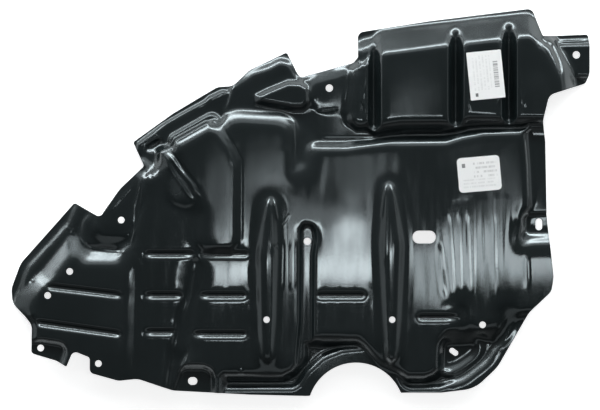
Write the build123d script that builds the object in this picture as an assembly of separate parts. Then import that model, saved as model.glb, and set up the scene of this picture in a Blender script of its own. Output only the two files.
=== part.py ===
"""Engine splash shield: one moulded plastic sheet with two paper labels stuck on it.

X runs along the shield, Y towards its raised module and Z up, away from the floor that it lies on.
The frame's origin is the middle of the trimmed outline, level with the lowest point of the underside.
The sheet is made as it is moulded: an upper skin and a lower skin of the same forms, one wall apart,
and then the trimming, the clip holes and the slots.
"""
import os
from math import cos, hypot, radians, sin, tan

from build123d import *

# The sheet
WALL = 3.0
BLOCK = 12.0  # thickness of the block that each skin's forms stand on before the skins are subtracted
UNDER = -6.0  # level inside both blocks, which every raised form reaches down to

# Heights of the upper skin above the floor
RIM = 3.0
TAB = 12.0
LOW_FIELD = 12.0
SHELF = 16.0
BEAD = 21.0
FLANGE = 20.0
WING = 24.0
PLATEAU = 30.0
BULGE = 36.0
MODULE = 38.0

# Draft of the walls, in degrees from upright
UPRIGHT = 20.0
STEEP = 30.0
EASY = 42.0
BROW = 48.0
SHALLOW = 55.0

# Rounding
CROWN = 6.0  # convex edge round a raised form
ARC_STEPS = 1
ROUND_FROM = 14.0  # corners of a form with a smaller radius are cut off straight
STRAIGHT = 1.5  # and so are corners that turn by less than twice this many degrees
SHARP = 35.0  # a corner cut off straight stays sharp if it turns by less than this many degrees

# Fins
FIN_HEIGHT = 13.0
FIN_CREST = 7.0  # half widths of the flat crest: beside the screw hole, at the tip and at the foot
FIN_TIP = 2.0
FIN_FOOT = 3.0
FIN_FOOT_Y = -236.0

# Grooves pressed into the panels
GROOVE_DEPTH = 5.5
GROOVE_FLOOR = 2.0
CHANNEL_DEPTH = 8.0
SOFT_CHANNEL_DEPTH = 4.0

# Clip and screw holes
CLIP_HOLE = 10.0
SCREW_HOLE = 11.0
FIN_HOLE = 9.5

# Slots: end-to-end length and width
MAIN_SLOT = (35.0, 19.0)
EDGE_SLOT = (17.5, 10.0)
SKEW_SLOT = (14.5, 8.0)
SKEW_SLOT_TURN = -35.0
PAD_SLOT = (14.0, 11.5)

# Labels
PAPER = 0.3
UPPER_LABEL = (52.0, 72.0)
UPPER_LABEL_CORNER = 1.5
UPPER_LABEL_TURN = 5.7
LOWER_LABEL = (64.0, 52.0)
LOWER_LABEL_CORNER = 6.0
LOWER_LABEL_TURN = 5.0

# Arch cut out of the lower edge
ARCH_RADIUS = 72.5
ARCH_CENTRE = (84.0, -313.5)

# Where the holes and slots are
TAB_HOLES = {
    "wing_hole": (-268, -27),
    "panel_hole": (-345, -104),
    "edge_hole": (-378, -140),
    "corner_hole": (-389, -219),
    "foot_hole": (-302, -242),
}
SCREW_HOLES = {
    "top_hole": (44, 171),
    "module_hole": (415, 221),
    "channel_hole": (11, -59),
}
FIN_HOLE_Y = -176.0
FIN_HOLE_X = {"left_fin_hole": -50.0, "right_fin_hole": 138.0}
PAD_HOLE_AT = (273.5, -184)
MAIN_SLOT_AT = (186, -52.5)
EDGE_SLOT_AT = (358.5, -33.5)
SKEW_SLOT_AT = (231, -225)
PAD_SLOT_AT = (-161, -268.5)
UPPER_LABEL_AT = (278, 190)
LOWER_LABEL_AT = (268.5, 42)


def edge_lines(corners):
    """The straight sides of a closed outline, each as a start, a unit direction and a length."""
    sides = []
    for here, there in zip(corners, corners[1:] + corners[:1]):
        run = (there[0] - here[0], there[1] - here[1])
        length = hypot(*run)
        sides.append((here, (run[0] / length, run[1] / length), length))
    return sides


def moved(corners, distance):
    """A clockwise outline with every side moved outwards by a distance, and its rounding kept true."""
    sides = edge_lines(corners)
    result = []
    for (_, before, _), (corner, after, _) in zip(sides[-1:] + sides[:-1], sides):
        turn = before[0] * after[1] - before[1] * after[0]
        bisector = 1 + before[0] * after[0] + before[1] * after[1]
        x = corner[0] - distance * (before[1] + after[1]) / bisector
        y = corner[1] + distance * (before[0] + after[0]) / bisector
        radius = corner[2] + (distance if turn < 0 else -distance)
        result.append((x, y, max(radius, 0.4), corner[3]))
    return result


def contour(corners, height):
    """A closed wire of straight sides and round corners at a height."""
    sides = edge_lines(corners)
    ends = []
    for (_, before, len_in), (corner, after, len_out) in zip(sides[-1:] + sides[:-1], sides):
        cosine = max(min(before[0] * after[0] + before[1] * after[1], 1), -1)
        half_tan = ((1 - cosine) / (1 + cosine)) ** 0.5
        reach = max(min(corner[2] * half_tan, 0.48 * len_in, 0.48 * len_out), 0.05)
        if corner[3] and cosine > cos(radians(SHARP)):
            reach = 0
        start = Vector(corner[0] - before[0] * reach, corner[1] - before[1] * reach, height)
        finish = Vector(corner[0] + after[0] * reach, corner[1] + after[1] * reach, height)
        ends.append((start, Vector(*before), finish, corner[3]))
    edges = []
    for (start, heading, finish, flat), (next_start, _, _, _) in zip(ends, ends[1:] + ends[:1]):
        if start != finish:
            bend = heading.get_angle(finish - start)
            line = flat or bend < STRAIGHT
            edges.append(Edge.make_line(start, finish) if line else Edge.make_tangent_arc(start, heading, finish))
        edges.append(Edge.make_line(finish, next_start))
    return Wire(edges)


def rounded(points, radius, round_from=ROUND_FROM):
    """Clockwise corners, each with a rounding and whether it is only cut off straight.

    The rounding is the one given with the point, or else the one for all.
    """
    sized = [(p[0], p[1], p[2] if len(p) > 2 else radius) for p in points]
    corners = [(x, y, size, size < round_from) for x, y, size in sized]
    twice_area = sum(a[0] * b[1] - b[0] * a[1] for a, b in zip(corners, corners[1:] + corners[:1]))
    return corners if twice_area < 0 else corners[::-1]


def raised(points, level, depth, draft=EASY, radius=6.0, crown=CROWN, skin=0.0):
    """A raised form with a flat top, a rounded crown and drafted walls.

    The points are where the flat top and the walls would meet. The skin is how far below the upper
    skin this copy lies: nothing for the upper skin, one wall for the lower one.
    """
    corners = rounded(points, radius)
    lean = radians(draft)
    swing = radians(90 - draft)
    tangent = crown * tan(swing / 2)
    sections = []
    if crown > 0:
        for step in range(ARC_STEPS + 1):
            angle = swing * step / ARC_STEPS
            shift = (crown - skin) * sin(angle) - tangent
            sections.append((level - crown + (crown - skin) * cos(angle), shift))
    else:
        sections.append((level - skin, -skin * (1 - sin(lean)) / cos(lean)))
    foot_shift = depth * tan(lean) - skin / cos(lean)
    sections.append((level - depth, foot_shift))
    if level - depth > UNDER:
        sections.append((UNDER, foot_shift))
    return Solid.make_loft([contour(moved(corners, s), z) for z, s in sections], ruled=True)


def sunk(points, level, rise, draft=EASY, radius=4.0, skin=0.0):
    """The space of a recess with a flat floor and drafted walls.

    The points are where the floor and the walls meet.
    """
    corners = rounded(points, radius)
    lean = radians(draft)
    sections = [
        (level - skin, skin * (1 - sin(lean)) / cos(lean)),
        (level + rise, rise * tan(lean) + skin / cos(lean)),
    ]
    return Solid.make_loft([contour(moved(corners, s), z) for z, s in sections], ruled=True)


def slab(points, top, bottom):
    """A flat-sided block of an outline between two heights."""
    face = make_face(contour(rounded(points, 1.0, 0.0), bottom).edges())
    return extrude(face, amount=top - bottom, dir=(0, 0, 1))


def slot_cutter(size, place, turn=0.0):
    """A tall round-ended cutter, long along X before it is turned."""
    length, width = size
    shape = SlotOverall(length, width) if length > width else Rot(0, 0, 90) * SlotOverall(width, length)
    return Pos(place[0], place[1], -WALL) * Rot(0, 0, turn) * extrude(shape, amount=3 * MODULE)


# The trimmed outline, clockwise from the tip of the left tab: x, y and the rounding of each corner
OUTLINE = [
    (-339, -1, 4), (-304, -21, 5), (-298, -20, 3), (-270, 20, 60), (-234, 54, 4),
    (-243, 73, 40), (-251, 90, 4), (-191, 133, 60), (-124, 173, 22), (-101, 174, 20), (-76, 198, 22),
    (-20, 225, 3), (-4, 193, 20), (1, 187, 4), (80, 209, 8), (87, 217, 6), (87, 255, 10),
    (195, 272, 90), (349, 291, 10), (364, 249, 4), (433, 252, 4), (435, 236, 6), (435, 192, 25),
    (429, 178, 8), (373, 160, 14), (364, 123, 30), (368, 90, 40), (370, -20, 60), (380, -112, 12),
    (377, -134, 18), (344, -165, 40), (296, -248, 60), (262, -280, 50), (212, -286, 20),
    (160, -286, 2), (8, -291, 2), (-75, -289, 20), (-190, -283, 30), (-243, -265, 30),
    (-272, -268, 20), (-315, -256, 8), (-315, -233, 5), (-340, -223, 8), (-350, -247, 2),
    (-366, -238, 8), (-403, -227, 6), (-402, -185, 20), (-412, -172, 20), (-432, -152, 22),
    (-434, -130, 30), (-420, -92, 40),
]


def lower_left_forms(skin):
    """The ledge along the left rim, and the wing beside the left tab."""
    ledge = [
        (-331, -3), (-345, -33), (-375, -67), (-405, -99), (-411, -112), (-416, -130), (-417, -148),
        (-408, -161), (-300, -161), (-285, -60), (-290, 20),
    ]
    wing_rim = [(-322, -28), (-300, -8), (-268, 60), (-225, 60), (-225, -97), (-324, -97), (-328, -62)]
    wing = [
        (-300, -24), (-281, -3), (-267, 14), (-254, 28), (-240, 40), (-238, 30), (-244, -4),
        (-246, -52), (-303, -52), (-306, -38),
    ]
    forms = [
        raised(ledge, TAB, 16, EASY, 8, 0, skin),
        raised(wing_rim, WING - 6, 20, EASY, 8, 0, skin),
        raised(wing, WING, 14, SHALLOW, 6, CROWN, skin),
    ]
    return forms


def upper_left_forms(skin):
    """The stepped flange, the bulge below it and the shelf and boss beside them."""
    rim = [(-262, 90), (-190, 150), (-120, 185), (-90, 240), (20, 240), (20, 100), (-200, 60), (-240, 40)]
    flange = [
        (-246, 83), (-206, 113), (-142, 149), (-136, 155), (-117, 164), (-104, 162),
        (-90, 120), (-150, 80), (-200, 60), (-236, 60),
    ]
    first_step = [(-196, 96), (-134, 131), (-124, 128), (-110, 90), (-150, 60), (-190, 70)]
    second_step = [(-190, 89), (-130, 122), (-120, 118), (-110, 90), (-150, 60), (-185, 60)]
    bulge = [
        (-184, 80, 3), (-130, 110, 5), (-108, 78, 14), (-99, 55, 20), (-100, -66, 4), (-148, -66, 4),
        (-142, -15, 10), (-150, 5, 10),
    ]
    ramp = [(-198, 76, 4), (-152, 6, 5), (-170, -2, 8), (-192, 6, 8), (-198, 30, 8)]
    shelf = [
        (-100, 172), (-84, 183), (-70, 193), (-45, 201), (-22, 214), (-2, 180), (30, 186), (82, 202),
        (100, 130), (60, 80), (-110, 80), (-112, 130),
    ]
    boss = [
        (-62, 155, 2), (-46, 163, 6), (-17, 175, 8), (4, 174, 8), (9, 165, 6), (11, 145, 8), (-10, 145, 4),
        (-46, 151, 4),
    ]
    return [
        raised(rim, 6, 12, EASY, 8, 0, skin),
        raised(flange, TAB, 12, EASY, 6, 0, skin),
        raised(first_step, TAB + 7, 12, STEEP, 4, 0, skin),
        raised(second_step, TAB + 12, 12, STEEP, 4, 0, skin),
        raised(bulge, BULGE, 10, SHALLOW, 6, CROWN, skin),
        raised(ramp, PLATEAU + 5, 10, SHALLOW, 6, 0, skin),
        raised(shelf, SHELF, 14, EASY, 8, 0, skin),
        raised(boss, SHELF + 10, 12, EASY, 4, 0, skin),
    ]


def plateau_forms(skin):
    """The main panel in four overlapping parts, which everything else steps down from."""
    left_end = [
        (-338, -78, 4), (-327, -93, 4), (-262, -93, 10), (-200, -93), (-200, -300), (-400, -300), (-402, -230),
        (-392, -200), (-392, -179, 6), (-404, -164, 8), (-400, -151, 10), (-384, -130, 10), (-372, -121, 8),
    ]
    left_panel = [
        (-246, -60), (-236, -6, 20), (-234, 28, 6), (-228, 37, 6), (-212, 40, 8), (-198, 70, 6),
        (-182, 82, 6), (-100, 82), (-60, 0), (-2, -100), (-2, -232, 14), (-20, -255, 12),
        (-122, -255, 6), (-123, -300), (-246, -300),
    ]
    corner_panel = [
        (-108, 122, 6), (-90, 125, 8), (-25, 121, 10), (-17, 110, 10), (-17, 38, 8), (20, 38),
        (20, -100), (-108, -100),
    ]
    right_panel = [
        (15, 52, 6), (15, 74, 6), (22, 79, 6), (70, 79, 12), (135, 87, 15), (220, 88, 10),
        (243, 95, 15), (275, 101, 15), (332, 103, 8), (345, 109, 8), (430, 111), (430, -150),
        (310, -168, 8), (294, -190, 8), (222, -192, 14), (207, -208, 14), (206, -246, 14),
        (192, -258, 12), (163, -258, 8), (150, -249, 8), (124, -238, 8), (98, -209, 8), (88, -202, 6),
        (-10, -201, 6), (-10, 40),
    ]
    parts = ((left_end, SHALLOW), (left_panel, EASY), (corner_panel, EASY), (right_panel, EASY))
    return [raised(part, PLATEAU, PLATEAU - TAB + 2, draft, 6, CROWN, skin) for part, draft in parts]


def module_forms(skin):
    """The raised module at the top right, the long slope up to it, its end panel and the tab beside it."""
    saddle = [(10, 135), (60, 150), (420, 160), (420, 80), (20, 60), (0, 90)]
    hole_panel = [(22, 179), (66, 192), (60, 142), (26, 138)]
    end_panel = [(84, 200), (110, 204), (112, 116), (78, 116)]
    flange = [
        (93, 228), (100, 231), (195, 244), (330, 260), (352, 240), (370, 234), (372, 118), (250, 125),
        (92, 125), (91, 215),
    ]
    brow = [(118, 221), (225, 235), (300, 243), (352, 249), (352, 180), (118, 170)]
    panel = [
        (106, 213, 8), (150, 215, 12), (228, 225, 12), (300, 234, 12), (350, 240, 10), (368, 230, 10),
        (376, 215, 8), (390, 190, 8), (398, 130, 8), (380, 126), (250, 128), (235, 122), (150, 121), (106, 115, 4),
    ]
    tab_rim = [(340, 240), (470, 245), (470, 150), (360, 140)]
    tab = [(360, 234, 4), (460, 236), (460, 189, 3), (392, 189, 3), (380, 170, 3), (350, 160, 4)]
    return [
        raised(saddle, SHELF, 14, EASY, 8, 0, skin),
        raised(hole_panel, SHELF + 2, 12, SHALLOW, 8, 0, skin),
        raised(end_panel, FLANGE + 7, 14, EASY, 6, 0, skin),
        raised(flange, FLANGE, 16, EASY, 8, CROWN, skin),
        raised(brow, MODULE, MODULE - 6, BROW, 6, 0, skin),
        raised(panel, MODULE, 20, EASY, 6, CROWN, skin),
        raised(tab_rim, 6, 14, EASY, 6, 0, skin),
        raised(tab, TAB, 14, STEEP, 4, 0, skin),
    ]


def lower_edge_forms(skin):
    """The low field behind the lower edge, the bead that follows the edge, and the pocket's collar."""
    field = [(-200, -245), (-100, -225), (330, -150), (420, -150), (420, -330), (-200, -330)]
    bead = [
        (-122, -281, 3), (-10, -281, 8), (0, -275, 10), (12, -256, 20), (36, -234, 30), (64, -223, 30),
        (99, -220, 14), (126, -236, 14), (143, -253, 10), (153, -273, 12), (162, -281, 12),
        (210, -280, 14), (248, -268, 30), (284, -240, 40), (316, -190, 30), (330, -165, 12), (400, -150),
        (400, -330), (-122, -330),
    ]
    collar = [
        (209, -214, 6), (214, -206, 8), (262, -206, 10), (276, -214, 10), (268, -234, 14), (240, -255, 14),
        (222, -262, 8), (210, -254, 8),
    ]
    return [
        raised(field, LOW_FIELD, 14, EASY, 8, 0, skin),
        raised(bead, BEAD, 14, EASY, 6, 4, skin),
        raised(collar, LOW_FIELD + 5, 10, EASY, 6, 0, skin),
    ]


def fin(centre_x, lean_x, belly, tip_y, skin):
    """A spindle-shaped fin, flat along its crest and widest at a third of its length from the tip."""
    wide_y = (FIN_FOOT_Y + 2 * tip_y) / 3
    crest = [
        (centre_x - belly, wide_y, 60), (centre_x + lean_x - FIN_TIP, tip_y, 1.8),
        (centre_x + lean_x + FIN_TIP, tip_y, 1.8), (centre_x + belly, wide_y, 60),
        (centre_x + FIN_CREST, FIN_HOLE_Y, 60), (centre_x + FIN_FOOT, FIN_FOOT_Y, 3),
        (centre_x - FIN_FOOT, FIN_FOOT_Y, 3), (centre_x - FIN_CREST, FIN_HOLE_Y, 60),
    ]
    return raised(crest, PLATEAU + FIN_HEIGHT, FIN_HEIGHT + 6, STEEP, 4, 0, skin)


def groove(start, finish, skin):
    """A round-ended groove between two points of the main panel."""
    run = hypot(finish[0] - start[0], finish[1] - start[1])
    ux = (finish[0] - start[0]) / run
    uy = (finish[1] - start[1]) / run
    half = GROOVE_FLOOR / 2
    floor = [
        (start[0] - uy * half, start[1] + ux * half), (finish[0] - uy * half, finish[1] + ux * half),
        (finish[0] + uy * half, finish[1] - ux * half), (start[0] + uy * half, start[1] - ux * half),
    ]
    return sunk(floor, PLATEAU - GROOVE_DEPTH, GROOVE_DEPTH + 8, EASY, half * 0.9, skin)


GROOVES = [
    ((-231, -78), (-161, -78)), ((-146, -78), (-80, -78)),
    ((-375, -127), (-266, -140)), ((-236, -140), (-179, -140)), ((-148, -140), (-83, -140)),
    ((-392, -181), (-270, -198)), ((-236, -195), (-190, -195)), ((-158, -198), (-83, -198)),
    ((28, -140), (95, -140)), ((179, -173), (236, -173)),
]


def plateau_recesses(skin):
    """Channels, grooves and pads pressed into the main panel."""
    deep = PLATEAU - CHANNEL_DEPTH
    rise = CHANNEL_DEPTH + 8
    soft = PLATEAU - SOFT_CHANNEL_DEPTH
    soft_rise = SOFT_CHANNEL_DEPTH + 2
    left_channel = [(-252, -76), (-243, -76), (-241, -150), (-241, -300), (-264, -300), (-253, -190)]
    curved_channel = [
        (-158, -86), (-153, -92), (-154, -132), (-164, -176), (-171, -226), (-180, -245), (-190, -290),
        (-201, -290), (-192, -226), (-181, -177), (-170, -140),
    ]
    hole_channel = [
        (3, -38, 6), (11, -34, 6), (20, -40, 6), (22, -54, 8), (18, -80, 12), (17, -215), (-1, -262),
        (-6, -262), (2, -180), (3, -80),
    ]
    slot_channel_a = [
        (232, -6, 6), (238, -1, 6), (245, -6, 6), (247, -42, 20), (249, -205), (241, -205), (238, -120, 30),
        (231, -42, 20),
    ]
    slot_channel_b = [
        (291, -8, 8), (300, -2, 6), (309, -8, 8), (312, -42, 20), (316, -90, 20), (319, -172),
        (300, -190), (298, -120, 30), (292, -42, 20),
    ]
    side_flange = [
        (342, 107, 4), (346, 55, 20), (349, -8, 8), (342, -18, 6), (332, -58, 4), (348, -54, 6),
        (420, -50), (420, 107),
    ]
    slot_pad = [(339, -20), (339, -48), (420, -48), (420, -17)]
    corner_pad = [(-386, -212, 3), (-360, -216, 5), (-354, -222, 5), (-368, -262), (-420, -250), (-420, -212)]
    slot_foot = [(-176, -252, 5), (-142, -252, 8), (-134, -260, 8), (-134, -320), (-190, -320), (-188, -285)]
    cuts = [
        sunk(left_channel, soft, soft_rise, SHALLOW, 4, skin),
        sunk(curved_channel, deep + 2, rise, EASY, 4, skin),
        sunk(hole_channel, deep, rise, STEEP, 5, skin),
        sunk(slot_channel_a, soft, soft_rise, SHALLOW, 3, skin),
        sunk(slot_channel_b, soft, soft_rise, SHALLOW, 3, skin),
        sunk(side_flange, PLATEAU - 10, 20, EASY, 5, skin),
        sunk(slot_pad, PLATEAU - 14, 20, STEEP, 4, skin),
        sunk(corner_pad, PLATEAU - 9, 20, EASY, 4, skin),
        sunk(slot_foot, PLATEAU - 11, 20, EASY, 5, skin),
    ]
    return cuts + [groove(start, finish, skin) for start, finish in GROOVES]


def module_recesses(skin):
    """The three arched channels across the module, and the dimple in the stepped flange."""
    cuts = []
    for middle, arch, foot in ((110.5, 240, 112), (233.5, 258, 118), (313.5, 266, 122)):
        left, right = middle - 2.5, middle + 2.5
        floor = [(left, arch - 5, 2), (middle, arch, 2), (right, arch - 5, 2), (right, foot), (left, foot)]
        cuts.append(sunk(floor, FLANGE - 6, MODULE - FLANGE + 14, UPRIGHT, 2, skin))
    dimple = [(-230, 81), (-214, 92), (-208, 90), (-212, 84), (-226, 77)]
    cuts.append(sunk(dimple, TAB - 5, 14, EASY, 3, skin))
    return cuts


def pocket(skin):
    """The D-shaped pocket round the skew slot."""
    floor = [
        (217, -218, 6), (224, -211, 8), (256, -211, 10), (266, -216, 8), (258, -230, 12), (238, -244, 14),
        (222, -250, 6), (216, -246, 6),
    ]
    return sunk(floor, LOW_FIELD - 2, 16, EASY, 5, skin)


def forms(skin):
    """Everything that the moulded sheet is shaped to, at a skin's depth below the upper skin."""
    span = 600
    base = Pos(0, 0, RIM - skin - BLOCK / 2) * Box(2 * span, 2 * span, BLOCK)
    body = base + plateau_forms(skin)
    body = body - plateau_recesses(skin)
    lifts = lower_left_forms(skin) + upper_left_forms(skin) + module_forms(skin) + lower_edge_forms(skin)
    lifts += [fin(-49, 5, 9.5, 0, skin), fin(137, -4, 12, 23, skin)]
    body = body + lifts
    return body - (module_recesses(skin) + [pocket(skin)])


def trimmed_outline():
    """The blank that the sheet is trimmed to, with the arch cut out of it."""
    blank = slab(OUTLINE, 2 * MODULE, -WALL)
    arch = Pos(ARCH_CENTRE[0], ARCH_CENTRE[1], -WALL) * extrude(Circle(ARCH_RADIUS), amount=3 * MODULE)
    return blank - arch


def holes():
    """Cutters for every clip hole, screw hole and slot."""
    round_holes = [(place, CLIP_HOLE) for place in TAB_HOLES.values()]
    round_holes += [(place, SCREW_HOLE) for place in SCREW_HOLES.values()]
    round_holes += [((x, FIN_HOLE_Y), FIN_HOLE) for x in FIN_HOLE_X.values()]
    round_holes.append((PAD_HOLE_AT, CLIP_HOLE))
    cutters = [
        Pos(place[0], place[1], -WALL) * extrude(Circle(diameter / 2), amount=3 * MODULE)
        for place, diameter in round_holes
    ]
    cutters.append(slot_cutter(MAIN_SLOT, MAIN_SLOT_AT))
    cutters.append(slot_cutter(EDGE_SLOT, EDGE_SLOT_AT, 90))
    cutters.append(slot_cutter(SKEW_SLOT, SKEW_SLOT_AT, SKEW_SLOT_TURN))
    cutters.append(slot_cutter(PAD_SLOT, PAD_SLOT_AT))
    return cutters


def label(size, corner, place, level, turn):
    """A thin paper sticker lying on a flat of the sheet."""
    sheet = extrude(RectangleRounded(*size, corner), amount=PAPER)
    return Pos(place[0], place[1], level) * Rot(0, 0, turn) * sheet


def build():
    """The three pieces in the frame whose origin is under the middle of the outline."""
    sheet = (forms(0.0) - forms(WALL)) & trimmed_outline()
    shield = sheet - holes()
    middle = shield.bounding_box().center()
    low = shield.bounding_box().min.Z
    home = Pos(-middle.X, -middle.Y, -low)
    return {
        "shield": home * shield,
        "upper_label": home * label(UPPER_LABEL, UPPER_LABEL_CORNER, UPPER_LABEL_AT, MODULE, UPPER_LABEL_TURN),
        "lower_label": home * label(LOWER_LABEL, LOWER_LABEL_CORNER, LOWER_LABEL_AT, PLATEAU, LOWER_LABEL_TURN),
    }


os.makedirs("parts", exist_ok=True)
for name, piece in build().items():
    export_step(piece, f"parts/{name}.step")
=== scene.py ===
"""Looks of the engine splash shield: a glossy black moulded sheet with two paper labels, on a pale floor.

The sheet is one mesh. Its heights are sampled from the solid, softened as a vacuum-formed sheet is, and given
the small ridges, puckers and waves of the real moulding. Places are written in drawing coordinates, which are
the millimetres of the part's own source, or in pixels of the photograph, which is 1.5 mm to a pixel.
"""
import math

import bpy
import numpy as np
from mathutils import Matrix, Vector
from mathutils.bvhtree import BVHTree
from mathutils.geometry import delaunay_2d_cdt
from mathutils.kdtree import KDTree


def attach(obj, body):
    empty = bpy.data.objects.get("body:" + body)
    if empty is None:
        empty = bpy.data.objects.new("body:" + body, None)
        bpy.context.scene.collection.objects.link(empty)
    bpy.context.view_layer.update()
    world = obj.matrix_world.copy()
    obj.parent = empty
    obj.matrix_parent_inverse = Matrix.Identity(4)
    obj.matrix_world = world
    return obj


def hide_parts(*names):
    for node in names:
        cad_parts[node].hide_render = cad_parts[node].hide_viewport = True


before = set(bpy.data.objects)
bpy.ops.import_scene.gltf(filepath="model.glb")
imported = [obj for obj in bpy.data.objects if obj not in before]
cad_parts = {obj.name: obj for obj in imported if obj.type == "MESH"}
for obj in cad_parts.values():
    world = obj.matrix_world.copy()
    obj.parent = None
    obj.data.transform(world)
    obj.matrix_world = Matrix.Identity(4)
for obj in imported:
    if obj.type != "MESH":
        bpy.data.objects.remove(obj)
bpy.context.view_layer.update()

MM = 0.001
SHIFT = np.array((-0.745, 0.452))  # from drawing coordinates to the frame, in mm
PIXEL = 1.5
PHOTO_SIZE = (600, 410)
PHOTO_ORIGIN = (-450.0, 303.0)  # the photograph's upper left corner, in drawing coordinates

WALL = 3.0
MOST_STRETCH = 1.5  # the wall, measured upright, grows with the slope up to this many times
GRID = 1.0  # spacing of the grid that holds the heights
GRID_REACH = (444, 300)  # how far the grid goes from the middle along X and along Y
RAY_START = 0.1  # where the rays that find the heights start, in m

# How far the heights are blurred, in mm
CRISP = 1.7  # where the sheet is drawn tight
SOFT = 4.0  # where it is not
SOFTEST = 7.5  # in the wide, shallow forms
BEND_BLUR = 1.5  # where they only tell how much the sheet bends

# The trimmed edges, in mm
EDGE_ROUND = 0.7  # how far from the edge its rounding starts
EDGE_DROP = 0.4  # how far down it goes
BOUNDARY_STEP = 1.6  # spacing of their points
SLOT_STEP = 1.2
HOLE_SIDES = 36
SLOT_END_SIDES = 14
SHORTEST_RUN = 0.05  # what is shorter is left out
LEAST_TURN = 0.05  # in radians: a corner that turns less is left straight
CORNER_SHARE = 0.48  # how much of a side the rounding of one corner may take

# Points inside the edges: spacing in mm and the least bend, per mm, where it is used
TOP_LEVELS = [(5.5, 0.0), (3.2, 0.005), (2.1, 0.025), (1.55, 0.14)]
UNDER_LEVELS = [(12.0, 0.0), (6.5, 0.006), (4.8, 0.04)]
TOP_CLEARANCE = 1.5  # how far they stay from the edges
UNDER_CLEARANCE = 2.0
GRID_MARGIN = 3  # how far they stay from the grid's ends
ROW_SPACING = 0.87  # rows lie this much closer than the points in them, so that their triangles are even
LEVEL_OFFSET = 0.13  # keeps the points of two levels apart
SAME_POINT = 1e-5  # points that lie closer count as one

# Areas round lines: how far inside its reach a line's hold starts to fade, and over what distance, in mm
LINE_FADE = 8
IRON_INSET, IRON_FADE = 5, 12
CALM_INSET, CALM_FADE = 6, 14
AREA_BLUR = 2.0  # what softens the areas further
LABEL_MARGIN, LABEL_FADE = 1, 12  # where the bare sheet begins, beyond a label
RIDGE_REACH = 4  # how far from its line a ridge is drawn, in half widths
TAPER = 0.95  # how much of it is gone at its ends
TAPER_WIDTHS = 5  # how long that takes, in half widths
TAPER_SHARE = 0.15  # but at most this share of the ridge

# Random waves: seed, and length along X and along Y in mm
BROAD_WAVES = (3, 110, 140)
FINE_WAVES = (5, 24, 160)
STREAK_WAVES = (7, 13, 240)
FOLD_WAVES = (11, 6.5, 6.5)
WAVE_COUNT = 14  # how many plain waves make up each
WAVE_SPREAD = (0.6, 1.4)
BROAD_HEIGHT = 0.05
FINE_HEIGHT = 0.02
FOLD_HEIGHT = 0.26
WAVE_DROP = 0.1  # how far the bare sheet sinks, so that its waves stay inside the solid

# The trimmed outline, clockwise: x, y and rounding of each corner, in drawing coordinates
OUTLINE = [
    (-339, -1, 4), (-304, -21, 5), (-298, -20, 3), (-270, 20, 60), (-234, 54, 4),
    (-243, 73, 40), (-251, 90, 4), (-191, 133, 60), (-124, 173, 22), (-101, 174, 20), (-76, 198, 22),
    (-20, 225, 3), (-4, 193, 20), (1, 187, 4), (80, 209, 8), (87, 217, 6), (87, 255, 10),
    (195, 272, 90), (349, 291, 10), (364, 249, 4), (433, 252, 4), (435, 236, 6), (435, 192, 25),
    (429, 178, 8), (373, 160, 14), (364, 123, 30), (368, 90, 40), (370, -20, 60), (380, -112, 12),
    (377, -134, 18), (344, -165, 40), (296, -248, 60), (262, -280, 50), (212, -286, 20),
    (160, -286, 2), (8, -291, 2), (-75, -289, 20), (-190, -283, 30), (-243, -265, 30),
    (-272, -268, 20), (-315, -256, 8), (-315, -233, 5), (-340, -223, 8), (-350, -247, 2),
    (-366, -238, 8), (-403, -227, 6), (-402, -185, 20), (-412, -172, 20), (-432, -152, 22),
    (-434, -130, 30), (-420, -92, 40),
]
ARCH_RADIUS = 72.5
ARCH_CENTRE = (84.0, -313.5)

# Round holes: x, y and radius
ROUND_HOLES = [
    (-268, -27, 5), (-345, -104, 5), (-378, -140, 5), (-389, -219, 5), (-302, -242, 5),
    (44, 171, 5.5), (415, 221, 5.5), (11, -59, 5.5), (-50, -176, 4.75), (138, -176, 4.75), (273.5, -184, 5),
]
# Slots: x, y, length, width and turn in degrees
SLOTS = [
    (186, -52.5, 35, 19, 0), (358.5, -33.5, 17.5, 10, 90),
    (231, -225, 14.5, 8, -35), (-161, -268.5, 14, 11.5, 0),
]

# Labels: x, y, turn in degrees, width and height
UPPER_LABEL = (278, 190, 5.7, 52, 72)
LOWER_LABEL = (268.5, 42, 5.0, 64, 52)

# Where the bends are crisp: how far from a line, in mm, and the line in photo pixels
CRISP_LINES = [
    (15, [(154, 254), (190, 254)]), (15, [(208, 254), (248, 254)]),
    (15, [(48, 287), (112, 295)]), (15, [(152, 296), (176, 296)]), (15, [(208, 296), (246, 296)]),
    (15, [(38, 323), (112, 333)]), (15, [(152, 332), (170, 332)]), (15, [(202, 334), (246, 334)]),
    (15, [(318, 296), (364, 296)]), (15, [(419, 318), (458, 318)]),
    (12, [(312, 138), (370, 137), (400, 131), (450, 130), (480, 125), (545, 122)]),
    (14, [(307, 224), (308, 280), (306, 380)]),
    (16, [(180, 378), (240, 385), (290, 385), (312, 364), (350, 350), (380, 358), (402, 380),
          (440, 380)]),
    (10, [(18, 300), (28, 272), (60, 240), (75, 215)]),
    (12, [(138, 146), (206, 104), (230, 94)]), (10, [(170, 138), (214, 116)]),
    (8, [(167, 152), (186, 180), (201, 198)]),
    (10, [(258, 98), (300, 84)]), (10, [(258, 98), (300, 108)]),
    (10, [(374, 60), (374, 118)]), (10, [(456, 50), (456, 118)]), (10, [(509, 46), (509, 112)]),
    (14, [(560, 40), (590, 40), (588, 80)]),
    (14, [(526, 215), (550, 215), (550, 238), (526, 238)]),
    (18, [(186, 364), (210, 364), (216, 385)]), (14, [(38, 338), (64, 345), (60, 360)]),
]
# Where they are the softest
SOFT_LINES = [
    (24, [(115, 215), (132, 195)]), (20, [(238, 128), (285, 132)]), (30, [(330, 92), (360, 92)]),
    (16, [(134, 262), (134, 372)]), (20, [(458, 198), (459, 328)]), (20, [(500, 198), (502, 328)]),
]
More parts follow.
